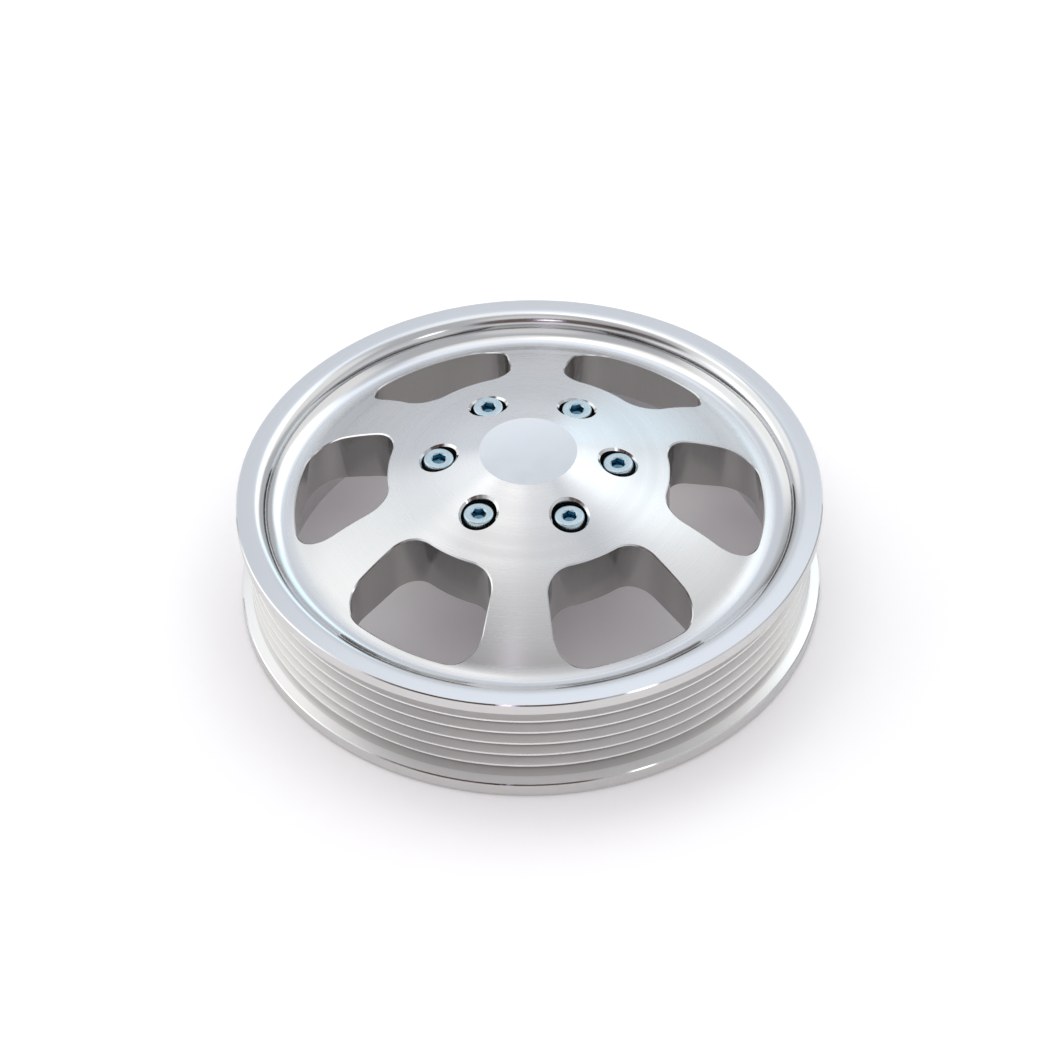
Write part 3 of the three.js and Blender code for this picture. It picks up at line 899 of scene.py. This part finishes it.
def drilled(piece, cutters):
    """piece with the cutters taken out of it. The cutters are used up."""
    for tool in cutters:
        cut = piece.modifiers.new(tool.name, "BOOLEAN")
        cut.operation, cut.solver, cut.object = "DIFFERENCE", "EXACT", tool
    bpy.context.view_layer.update()
    evaluated = piece.evaluated_get(bpy.context.evaluated_depsgraph_get())
    mesh = bpy.data.meshes.new_from_object(evaluated)
    work = bmesh.new()
    work.from_mesh(mesh)
    bmesh.ops.remove_doubles(work, verts=work.verts, dist=WELD * MM)
    work.to_mesh(mesh)
    work.free()
    piece.modifiers.clear()
    piece.data = mesh
    mesh.shade_smooth()
    mesh.set_sharp_from_angle(angle=math.radians(HUB_SHARP))
    for tool in cutters:
        bpy.data.objects.remove(tool)
    return piece


def countersunk(radius, bottom, top):
    """The profile of a hole right through a wall, with a small countersink at both mouths."""
    wide, past = radius + EDGE, 1.0
    return [
        (0, bottom - past), (wide + past, bottom - past), (wide, bottom), (radius, bottom + EDGE),
        (radius, top - EDGE), (wide, top), (wide + past, top + past), (0, top + past),
    ]


def drive_hub():
    """The hub: flange, pilot and boss, six tapped holes, a keyway and two cross holes for grub screws."""
    low, top, out = hub_low.z, hub_high.z, hub_high.x
    face = top - SEAT_DEPTH
    flange_back = face - HUB_FLANGE_THICKNESS
    small = EDGE / 2
    shell = Shell()
    round_edge = 2 * EDGE
    round_centre = (HUB_RADIUS - round_edge, low + round_edge)
    blend_centre = (HUB_RADIUS + HUB_BLEND, flange_back - HUB_BLEND)
    boss = [(HUB_BORE, low + EDGE), (HUB_BORE + EDGE, low), (HUB_RADIUS - round_edge, low)]
    boss += arc(round_centre, round_edge, -math.pi / 2, 0, step=math.radians(10))
    boss += arc(blend_centre, HUB_BLEND, math.pi, math.pi / 2)
    flange = [(out - EDGE, flange_back), (out, flange_back + EDGE), (out, face - EDGE), (out - EDGE, face)]
    pilot = [(PILOT_RADIUS + small, face), (PILOT_RADIUS, face + small), (PILOT_RADIUS, top - EDGE)]
    pilot += [(PILOT_RADIUS - EDGE, top), (HUB_BORE + EDGE, top), (HUB_BORE, top - EDGE)]
    shell.turned(boss + flange + pilot + boss[:1], 0, HUB_COLUMNS)
    hub = shell.build("hub", [hub_finish])
    tools = []
    for spoke, angle in enumerate(SPOKE_ANGLES):
        tool = cutter(f"tap_{spoke}", countersunk(TAPPED_RADIUS, flange_back, face))
        tool.location = Vector((SCREW_CIRCLE * math.cos(angle), SCREW_CIRCLE * math.sin(angle), 0)) * MM
        tools.append(tool)
    for node_name, direction in GRUB_DIRECTIONS.items():
        tool = cutter(f"tap_{node_name}", countersunk(TAPPED_RADIUS, HUB_BORE - EDGE / 2, HUB_RADIUS))
        corner_low, corner_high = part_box(node_name)
        tool.location.z = (corner_low.z + corner_high.z) / 2
        tool.rotation_euler = Vector(direction).to_track_quat("Z", "X").to_euler()
        tools.append(tool)
    hub = drilled(hub, tools)
    work = bmesh.new()
    bmesh.ops.create_cube(work, size=1.0)
    slot = finished("keyway", work, [hub_finish])
    depth = key_high.y + KEY_GAP
    slot.scale = Vector((key_high.x - key_low.x + 2 * KEY_GAP, depth, 2 * top)) * MM
    slot.location.y = depth / 2 * MM
    return drilled(hub, [slot])


def drive_key():
    """A parallel key with its edges broken."""
    work = bmesh.new()
    bmesh.ops.create_cube(work, size=MM)
    bmesh.ops.scale(work, vec=key_high - key_low, verts=work.verts)
    bmesh.ops.translate(work, vec=(key_high + key_low) / 2 * MM, verts=work.verts)
    edges = work.edges[:]
    bmesh.ops.bevel(work, geom=edges, offset=KEY_EDGE * MM, segments=2, profile=0.5, affect="EDGES")
    return finished("key", work, [key_finish])


# ---------------------------------------------------------------- scene

SENSOR_WIDTH = 36.0
LENS = 147.4
VIEW_DISTANCE = 14.785 * RIM_RADIUS
VIEW_TURN = math.radians(4.05)  # the wheel lies turned by this much to the camera
VIEW_ELEVATION = math.radians(43.68)
VIEW_PITCH = 0.7709  # radians down from level
VIEW_ROLL = -0.0235  # radians


def add_camera():
    """The camera, which looks down on the wheel's front half."""
    data = bpy.data.cameras.new("camera")
    data.sensor_width = SENSOR_WIDTH
    data.lens = LENS
    camera = bpy.data.objects.new("camera", data)
    bpy.context.scene.collection.objects.link(camera)
    distance = VIEW_DISTANCE * MM
    level_distance = distance * math.cos(VIEW_ELEVATION)
    camera.location = (
        level_distance * math.sin(VIEW_TURN),
        -level_distance * math.cos(VIEW_TURN),
        RIM_WIDTH * MM + distance * math.sin(VIEW_ELEVATION),
    )
    forward = Vector((0, math.cos(VIEW_PITCH), -math.sin(VIEW_PITCH)))
    right = Vector((1, 0, 0))
    up = right.cross(forward)
    rolled_right = math.cos(VIEW_ROLL) * right + math.sin(VIEW_ROLL) * up
    rolled_up = -math.sin(VIEW_ROLL) * right + math.cos(VIEW_ROLL) * up
    axes = Matrix((rolled_right, rolled_up, -forward)).transposed()
    camera.rotation_euler = (Matrix.Rotation(VIEW_TURN, 3, "Z") @ axes).to_euler()
    return camera


# The studio is a dome of soft light: an even grey, with glowing panels in it.
STUDIO_GREY = (0.58, 0.59, 0.61)
PANELS = [
    # azimuth and elevation of its middle, angle out to which it is full, angle where it ends, light added
    (94, 45, 20, 36, (0.24, 0.27, 0.31)),
    (129, 66, 9, 15, (0.80, 0.75, 0.68)),
    (62, 43, 11, 18, (0.72, 0.80, 0.80)),
    (94, 72, 9, 13, (0.50, 0.47, 0.42)),
    (90, 53, 6, 11, (0.34, 0.36, 0.40)),
    (28, 46, 14, 24, (0.45, 0.43, 0.40)),
    (77, 22, 6, 12, (0.46, 0.68, 0.78)),
    (160, 32, 20, 36, (0.62, 0.62, 0.58)),
    (190, 5, 25, 45, (0.50, 0.50, 0.50)),
    (265, 2, 22, 40, (0.30, 0.28, 0.27)),
    (335, 6, 20, 44, (0.20, 0.20, 0.20)),
    (270, 72, 7, 16, (0.28, 0.26, 0.24)),
]

# A dark cloth hangs round the camera, and light shows through two gaps in it. The last entry of a row is
# the share of light that the cloth lets through, or the light that a gap adds.
CLOTH = [
    (276, 46, 11, 19, (0.27, 0.20, 0.18)),
    (246, 46, 11, 19, (0.27, 0.20, 0.18)),
    (218, 47, 8, 16, (0.30, 0.24, 0.22)),
]
GAPS = [
    (263, 47, 2.5, 5, (3.0, 2.6, 3.3)),
    (316, 42, 3, 6, (2.0, 2.0, 1.9)),
]

FLOOR_REACH = 4000
FLOOR_DROP = 0.05
FLOOR_GLOW = 0.30
FLOOR_DARK, FLOOR_LIGHT = (0.90, 0.895, 0.90), (0.93, 0.925, 0.93)
# the floor glows less near the wheel: painted shade round the wheel's foot
GLOW_NEAR_PAINTED_SHADE, GLOW_FAR = (0.42, 0.38, 0.40), (1.0, 0.97, 1.0)
GLOW_FROM, GLOW_TO = 52.0, 88.0  # distances from the axis between which the glow grows


def patch(tree, direction, azimuth, elevation, full, end):
    """1 inside a round patch of the dome, 0 outside it."""
    turn, lift = math.radians(azimuth), math.radians(elevation)
    middle = (math.cos(lift) * math.cos(turn), math.cos(lift) * math.sin(turn), math.sin(lift))
    near = vector_maths(tree, "DOT_PRODUCT", _0=direction, _1=middle).outputs["Value"]
    return ramp(tree, near, math.cos(math.radians(end)), math.cos(math.radians(full)))


def with_panels(tree, direction, light, panels):
    """The dome's light with the panels' light added."""
    for *where, colour in panels:
        panel = vector_maths(tree, "SCALE", _0=colour, Scale=patch(tree, direction, *where)).outputs[0]
        light = vector_maths(tree, "ADD", _0=light, _1=panel).outputs[0]
    return light


def studio_world():
    """The dome as a world: its grey and its panels, darkened by the cloth, and the gaps in the cloth."""
    world = bpy.data.worlds.new("studio")
    world.use_nodes = True
    tree = world.node_tree
    direction = node(tree, "ShaderNodeTexCoord").outputs["Generated"]
    light = with_panels(tree, direction, STUDIO_GREY, PANELS)
    for *where, let_through in CLOTH:
        shaded = vector_maths(tree, "MULTIPLY", _0=light, _1=let_through).outputs[0]
        light = mixed_colour(tree, patch(tree, direction, *where), light, shaded)
    light = with_panels(tree, direction, light, GAPS)
    tree.links.new(light, tree.nodes["Background"].inputs["Color"])
    return world


def paper_floor():
    """A pale paper floor just under the wheel. It glows a little, and more away from the wheel, so that it
    whitens there; the weaker glow near the wheel is painted shade round its foot."""
    material, tree, principled = shader("floor_paper")
    principled.inputs["Roughness"].default_value = 0.8
    principled.inputs["Emission Strength"].default_value = FLOOR_GLOW
    glow = tint(tree, ramp(tree, axis_distance(tree), GLOW_FROM, GLOW_TO), GLOW_NEAR_PAINTED_SHADE, GLOW_FAR)
    tree.links.new(glow, principled.inputs["Emission Color"])
    paper = tint(tree, noise(tree, place(tree), 0.4, detail=3.0), FLOOR_DARK, FLOOR_LIGHT)
    tree.links.new(paper, principled.inputs["Base Color"])
    shell = Shell()
    reach = (-FLOOR_REACH, FLOOR_REACH)
    shell.grid([[(x, y, -FLOOR_DROP) for x in reach] for y in reach], 0)
    return shell.build("floor", [material])


camera = add_camera()
bpy.context.scene.camera = camera
bpy.context.scene.view_settings.view_transform = "Standard"
bpy.context.scene.world = studio_world()
floor = paper_floor()

assembly = [
    (pulley_wheel(), "pulley", "pulley_wheel", "turned_aluminium"),
    (drive_hub(), "pulley", "drive_hub", "dark_steel"),
    (drive_key(), "pulley", "drive_key", "bright_steel"),
]
for node_name, direction in GRUB_DIRECTIONS.items():
    body = node_name.removesuffix("_screw")
    assembly.append((grub_screw(node_name, direction), body, node_name, "black_steel"))
for number in range(1, SPOKES + 1):
    assembly.append((cap_screw(number), f"screw_{number}", f"cap_screw_{number}", "zinc_steel"))
for piece, body, node_name, slot in assembly:
    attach(piece, body)
    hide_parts(node_name)
